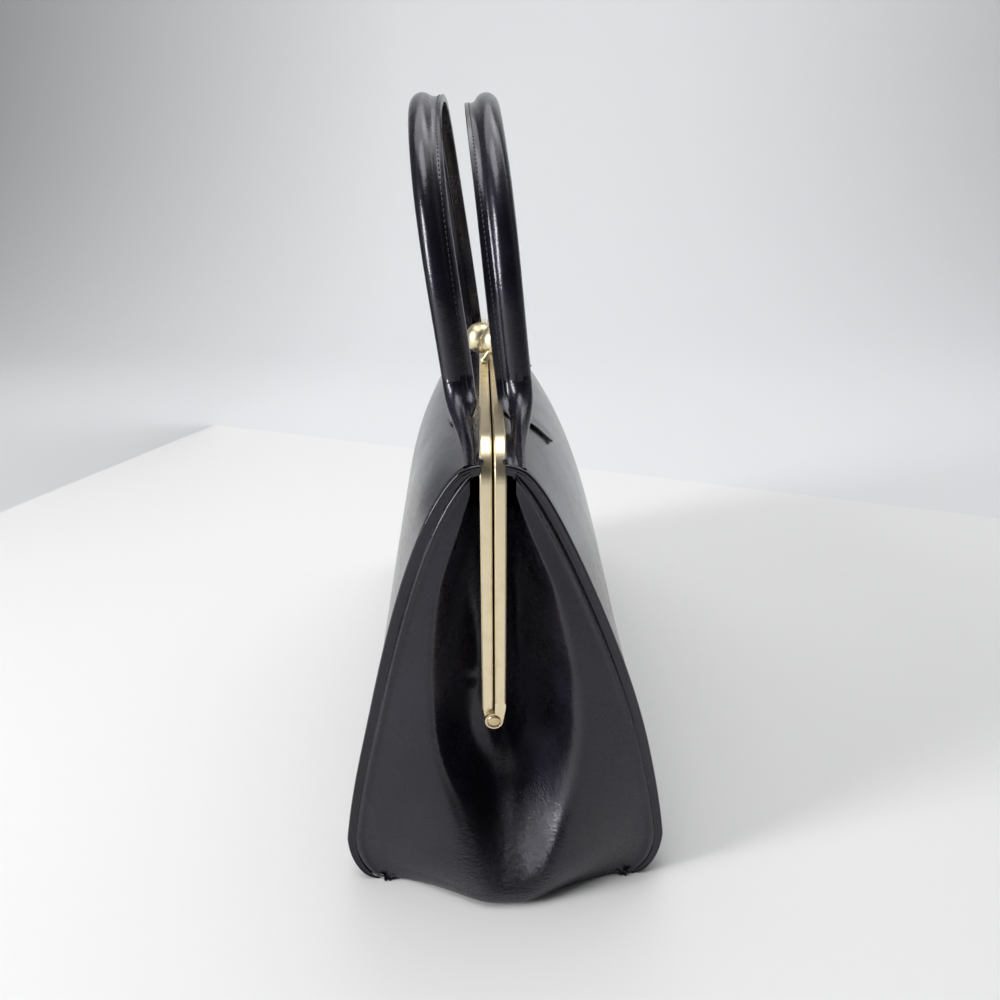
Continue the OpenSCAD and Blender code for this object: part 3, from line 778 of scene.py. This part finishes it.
def flange(word, x):
    """Reach and place of a flange: the front handle's is narrower on its right leg"""
    if word == "back":
        return 9.2, 1.0
    return mix(10.3, 7.5, ease((x + 20) / 90)), 2.0


def foot_path(t):
    """From the strap's tip at the end seam, along the shoulder and up into the leg"""
    return bezier(Vector((133, -4.8)), Vector((100, -3.6)), Vector((79, -2.6)),
                  Vector((HANDLE_X, FOOT_TOP)), t)


FOOT_LEN = sum((foot_path((n + 1) / 40) - foot_path(n / 40)).length for n in range(40))
LEG_LEN = FOOT_LEN + LEG_H - FOOT_TOP
HANDLE_LEN = 2 * LEG_LEN + ARCH_LEN


def handle_section(k, reach, middle, roll, flange_t):
    """A point round the handle: outward from the arch, and towards the other handle"""
    t = k / HANDLE_COLUMNS
    high, low = middle + flange_t / 2, middle - flange_t / 2
    start = math.asin(max(-0.95, min(0.95, high / roll)))
    stop = math.asin(max(-0.95, min(0.95, low / roll)))
    if t < 0.62:
        # Round the roll, from the flange's upper side to its lower side
        turn = mix(math.pi / 2 - start - 0.18, -math.pi * 1.5 - stop + 0.18, t / 0.62)
        return roll * math.cos(turn), roll * math.sin(turn)
    root = roll * math.cos(stop) * 0.97
    if t < 0.78:
        v = (t - 0.62) / 0.16
        return low + 0.35 * math.sin(math.pi * v) * 0.3, mix(root, reach - 0.4, v)
    if t < 0.84:
        v = (t - 0.78) / 0.06
        turn = mix(-math.pi / 2, math.pi / 2, v)
        return middle + flange_t / 2 * math.sin(turn), reach - 0.4 + 0.4 * math.cos(turn)
    v = (t - 0.84) / 0.16
    return high - 0.45 * math.sin(math.pi * v), mix(reach - 0.4, roll * math.cos(start) * 0.97, v)


def handle_way(j):
    """Distance from the nearer strap's tip, how far the leg is formed, the point, and the
    directions out from the arch and along the handle"""
    end = -1 if j < HANDLE_ROWS / 2 else 1
    n = min(j, HANDLE_ROWS - j)
    formed = min(1, n / FOOT_ROWS)
    if n < FOOT_ROWS:
        d = FOOT_LEN * formed
        at = foot_path(formed)
        way = (foot_path(formed + 0.01) - foot_path(formed - 0.01)).normalized()
    elif n < SIDE_ROWS:
        d = mix(FOOT_LEN, LEG_LEN, (n - FOOT_ROWS) / LEG_ROWS)
        at, way = Vector((HANDLE_X, FOOT_TOP + d - FOOT_LEN)), Vector((0, 1))
    else:
        turn = math.pi * (n - SIDE_ROWS) / ARCH_ROWS
        d = LEG_LEN + HANDLE_X * turn
        at = Vector((HANDLE_X * math.cos(turn), LEG_H + HANDLE_X * math.sin(turn)))
        way = Vector((-math.sin(turn), math.cos(turn)))
    point = Vector((end * at[0], 0, at[1]))
    outward = Vector((end * way[1], 0, -way[0]))
    along = -end * Vector((end * way[0], 0, way[1]))
    return d, formed, point, outward, along


def handle_surface(word, k, j):
    side = SIDES[word]
    d, formed, point, outward, _ = handle_way(j)
    reach, middle = flange(word, point.x)
    wide = mix(2.2, ROLL_R, ease((formed - 0.05) / 0.95))
    thick = mix(0.7, ROLL_R, ease((formed - 0.1) / 0.8))
    spread = ease((d - 0.56 * FOOT_LEN) / 10)
    reach = mix(wide + 0.3, reach, spread)
    a, b = handle_section(k, reach, middle * spread, wide, mix(1.6, 3.0, spread))
    shift = 4.0 * (1 - ease(d / FOOT_LEN / 0.85)) + 1.0 * (1 - ease((d - FOOT_LEN) / 80))
    return point + outward * a * thick / wide + Vector((0, -side * (b + shift), 0))


def on_handle(side, point):
    turned = Matrix.Rotation(HANDLE_LEAN, 3, "X") @ point
    return turned + Vector((0, -FRAME_SET + side * HANDLE_FOOT, HANDLE_Z))


def handle_measure(i, j):
    d = handle_way(j)[0]
    return (0.8 * i, HANDLE_LEN - d if j > HANDLE_ROWS / 2 else d)


for word, side in SIDES.items():
    bm = loft(HANDLE_COLUMNS, HANDLE_ROWS,
              lambda i, j: on_handle(side, handle_surface(word, i % HANDLE_COLUMNS, j)),
              measure=handle_measure, closed=True)
    made = piece(f"{word}_leather_handle", bm, HANDLE_CALF, "handle_leather",
                 (f"{word}_handle_cover",), 50)
    low = on_handle(side, Vector((0, 0, -1))) * MM
    high = on_handle(side, Vector((0, 0, 10))) * MM
    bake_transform(made, f"{word}_frame", f"{word}_handle", start=low, end=high)
    places = []
    first = 0.8 * FOOT_LEN
    for n in range(int((HANDLE_LEN - 2 * first) / STITCH_STEP) + 1):
        d = first + n * STITCH_STEP
        near = min(d, HANDLE_LEN - d)
        if near < FOOT_LEN:
            j = near / FOOT_LEN * FOOT_ROWS
        elif near < LEG_LEN:
            j = FOOT_ROWS + (near - FOOT_LEN) / (LEG_LEN - FOOT_LEN) * LEG_ROWS
        else:
            j = SIDE_ROWS + (near - LEG_LEN) / ARCH_LEN * ARCH_ROWS
        j = j if d < HANDLE_LEN / 2 else HANDLE_ROWS - j
        near, _, point, outward, along = handle_way(j)
        reach, middle = flange(word, point.x)
        at = mix(4.0, reach - 2.0, ease((near - 0.56 * FOOT_LEN) / 10))
        lie = point + outward * (middle + 1.5 - 0.3) + Vector((0, -side * at, 0))
        turn = Matrix.Rotation(HANDLE_LEAN, 3, "X")
        places.append((on_handle(side, lie), turn @ along, turn @ outward))
    made = piece(f"{word}_handle_stitches", stitches(places), THREAD, "handle_leather")
    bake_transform(made, f"{word}_frame", f"{word}_handle", start=low, end=high)


# Leaf-shaped tabs under the handles' feet

def leaf(v):
    """Half width of the leaf, from its neck to its rounded tip"""
    if v < 0.45:
        return TAB_W * mix(0.6, 1, ease(v / 0.45))
    return TAB_W * math.sqrt(max(0.0004, 1 - ((v - 0.45) / 0.55) ** 2))


def tab_place(side, end, i, j):
    x = end * (HANDLE_X - 5)
    v = 0.995 * (j / 40) ** 0.9
    s = mix(side_s(x, 9), side_s(x, 17 if side < 0 else 25), v)
    curl = 0.3 * ease((v - 0.75) / 0.25)
    return skin(side, x + leaf(v) * (2 * i / 16 - 1), s, TAB_THICKNESS + 0.1 + curl)


for word, side in SIDES.items():
    for hand, end in ENDS.items():
        bm = loft(16, 40, lambda i, j: tab_place(side, end, i, j), turned=side < 0)
        made = piece(f"{word}_{hand}_leather_tab", bm, HANDLE_CALF, "handle_leather",
                     (f"{word}_{hand}_tab",))
        thicken(made, TAB_THICKNESS, 0.3)
        bend(made, lambda point: side)


# Kiss lock

STEM = ((0, 0), (2.3, 0), (2.3, 0.5), (1.75, 1.1), (1.6, 2.0), (1.6, 6.0), (0, 6.0))


def lock_ball(side, rise):
    """A ball on its slanting stem, which stands on a plate with rounded edges"""
    x = -side * BALL_X
    ball = [(BALL_R * math.sin(math.pi * n / 24), BALL_R * math.cos(math.pi * n / 24))
            for n in range(25)]
    sphere = turned_shape(ball, 64)
    top = Vector((x, -side * BALL_SET, FRAME_TOP + rise))
    bmesh.ops.translate(sphere, vec=top, verts=sphere.verts)
    foot = Vector((x, side * CHANNEL_Y, FRAME_TOP + 0.2))
    stem = turned_shape(STEM, 32)
    axis = (top - foot).normalized()
    stem.transform(Matrix.Translation(foot) @ axis.to_track_quat("Z", "Y").to_matrix().to_4x4())
    plate = bmesh.new()
    bmesh.ops.create_cube(plate, size=1)
    bmesh.ops.scale(plate, vec=(9, 2.4, 0.8), verts=plate.verts)
    bmesh.ops.bevel(plate, geom=plate.edges, offset=0.25, segments=3, profile=0.5,
                    affect="EDGES", material=-1)
    bmesh.ops.translate(plate, vec=(x, side * CHANNEL_Y, FRAME_TOP + 0.4), verts=plate.verts)
    whole = join([sphere, stem, plate])
    bmesh.ops.translate(whole, vec=(0, -FRAME_SET, 0), verts=whole.verts)
    return whole


for word, rise in (("front", 10.4), ("back", 8.7)):
    made = piece(f"{word}_kiss_ball", lock_ball(SIDES[word], rise), BALL_BRASS, "ball_brass",
                 (f"{word}_lock_ball",))
    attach(made, f"{word}_frame")


# Hinge rivets: radius and distance out from the frame's face

RIVET = ((0, 0.9), (1.6, 0.88), (2.15, 0.75), (2.45, 0.5), (2.5, 0.25), (2.5, 0.0), (1.5, -0.05),
         (1.5, -6.9), (2.2, -6.9), (2.2, -7.6), (0, -7.7))

for word, end in ENDS.items():
    bm = turned_shape(RIVET, 40)
    bm.transform(Matrix.Translation((end * (FRAME_X - 0.55), -FRAME_SET, HINGE_Z))
                 @ Matrix.Rotation(end * math.pi / 2, 4, "Y"))
    made = piece(f"{word}_rivet", bm, RIVET_BRASS, "rivet_brass", (f"{word}_hinge_rivet",))
    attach(made, "body")


# Finishes of the solids that stay

def finish_nodes(finish, *names):
    for name in names:
        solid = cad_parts[name]
        solid.data.materials.clear()
        solid.data.materials.append(finish)


finish_nodes(FRAME_BRASS, "front_frame_half", "back_frame_half")
finish_nodes(RIVET_BRASS, "front_lock_rivets", "back_lock_rivets", "right_hinge_washer",
             "left_hinge_washer")
finish_nodes(PAPER_CORD, "front_channel_cord", "back_channel_cord", "front_handle_core",
             "back_handle_core")
finish_nodes(BOARD, "base_board")


# Floor, light and camera

def stage_sheet(name, near, far, rises, finish):
    """A sheet between two sides, each of which gives its place from the front to the back"""
    mesh = bpy.data.meshes.new(name)
    bm = loft(1, rises, lambda i, j: (near, far)[i](j / rises))
    bm.to_mesh(mesh)
    bm.free()
    mesh.shade_smooth()
    mesh.materials.append(finish)
    made = bpy.data.objects.new(name, mesh)
    bpy.context.scene.collection.objects.link(made)
    return made


def white_laminate():
    """White laminate table in front of a painted wall, both matt, so the table shows plain light.
    The table's corner lies behind the bag at the left, where the wall is in shade; that shade is painted
    into the wall's colour, which darkens towards the left"""
    made, tree, shader, place = start_finish("white_laminate", {"Roughness": 0.7})
    turned = add(tree, "Mapping", {"vector_type": "TEXTURE"}, {
        "Vector": place, "Location": (-500, -330, 0), "Rotation": (0, 0, math.radians(-21))})
    sides = add(tree, "SeparateXYZ", sockets={0: turned.outputs[0]})
    inside = add(tree, "Math", {"operation": "MINIMUM"}, {
        0: sides.outputs["X"], 1: sides.outputs["Y"]})
    on_table = add(tree, "Math", {"operation": "GREATER_THAN"}, {0: inside.outputs[0], 1: 0.0})
    across = add(tree, "SeparateXYZ", sockets={0: place})
    # Painted shade: the wall's colour runs from dark grey at the left to pale at the right, in place of the
    # shade that falls at the left
    wall_painted_shade = add(tree, "MapRange", sockets={
        "Value": across.outputs["Y"], "From Min": -1500.0, "From Max": -200.0})
    wall = add(tree, "Mix", {"data_type": "RGBA"}, {
        0: wall_painted_shade.outputs["Result"], 6: tone("#a2a3a4"), 7: tone("#dddee0")})
    tint = add(tree, "Mix", {"data_type": "RGBA"}, {
        0: on_table.outputs[0], 6: wall.outputs[2], 7: tone("#e3e3e2")})
    tree.links.new(tint.outputs[2], shader.inputs["Base Color"])
    return made


def painted_shade_cloth():
    """Grey cloth, matt, so that it shows as an even tone where the leather mirrors it: painted shade for the
    room's shaded left side
    """
    return start_finish("painted_shade_cloth", {"Base Color": tone("#6e6f70"), "Roughness": 0.7})[0]


def sweep(y):
    """One side of the floor, in metres, which turns up into the wall behind the bag"""
    def at(t):
        if t < 0.3:
            return Vector((mix(3, -0.9, t / 0.3), y, 0))
        turn = math.radians(90 * min(1, (t - 0.3) / 0.5))
        above = 0.9 - 0.9 * math.cos(turn) + max(0, t - 0.8) * 12
        return Vector((-0.9 - 0.9 * math.sin(turn), y, above))
    return at


def upright(x, y, height):
    return lambda t: Vector((x, y, height * t))


stage_sheet("floor_and_wall", sweep(-8), sweep(8), 40, white_laminate())
# A grey screen at the left, outside the picture, which the front of the bag mirrors: painted shade, a sheet
# that stands in for the shaded left side of the room, unseen by the camera and casting no shadow
screen = stage_sheet("painted_shade_screen", upright(-0.5, -0.33, 0.7), upright(-0.02, -0.52, 0.7), 1,
                     painted_shade_cloth())
screen.visible_camera = False
screen.visible_shadow = False


def lamp(name, place, aim, size, power):
    """A rectangular lamp in metres and watts, turned towards a place"""
    data = bpy.data.lights.new(name, "AREA")
    data.shape = "RECTANGLE"
    data.size, data.size_y = size
    data.energy = power
    made = bpy.data.objects.new(name, data)
    made.location = place
    made.rotation_euler = (Vector(aim) - Vector(place)).to_track_quat("-Z", "Y").to_euler()
    bpy.context.scene.collection.objects.link(made)


lamp("window", (0.55, -1.45, 0.6), (0.1, 0, 0.12), (0.36, 0.9), 24)
lamp("small_window", (0.22, -0.28, 1.4), (0.15, 0, 0), (0.6, 0.6), 4)
lamp("wall_light", (-0.6, 0.6, 1.6), (-1.6, 0.5, 0.6), (1.2, 1.2), 10)
lamp("ceiling", (-0.4, -0.3, 2.4), (0.1, 0, 0), (2.4, 2.4), 29)

# The room is pale behind the bag and dark behind the camera
world = bpy.data.worlds.new("room")
bpy.context.scene.world = world
world.use_nodes = True
room = world.node_tree
sky = room.nodes["Background"]
way = add(room, "TexCoord").outputs["Generated"]
along = add(room, "SeparateXYZ", sockets={0: way})
level = add(room, "MapRange", sockets={
    "Value": along.outputs["X"], "From Min": -0.35, "From Max": 0.45,
    "To Min": 0.55, "To Max": 0.06})
room.links.new(level.outputs["Result"], sky.inputs["Strength"])
sky.inputs["Color"].default_value = tone("#dfe2e6")

camera_data = bpy.data.cameras.new("camera")
camera_data.sensor_width = 36
camera_data.lens = 26.64
camera_data.clip_start = 0.01
camera = bpy.data.objects.new("camera", camera_data)
camera.location = (0.3642, -0.0079, 0.260)
yaw, pitch = math.radians(1.42), math.radians(22.7)
looking = Vector((-math.cos(yaw) * math.cos(pitch), math.sin(yaw) * math.cos(pitch),
                  -math.sin(pitch)))
camera.rotation_euler = looking.to_track_quat("-Z", "Y").to_euler()
bpy.context.scene.collection.objects.link(camera)
bpy.context.scene.camera = camera
bpy.context.scene.view_settings.view_transform = "Standard"
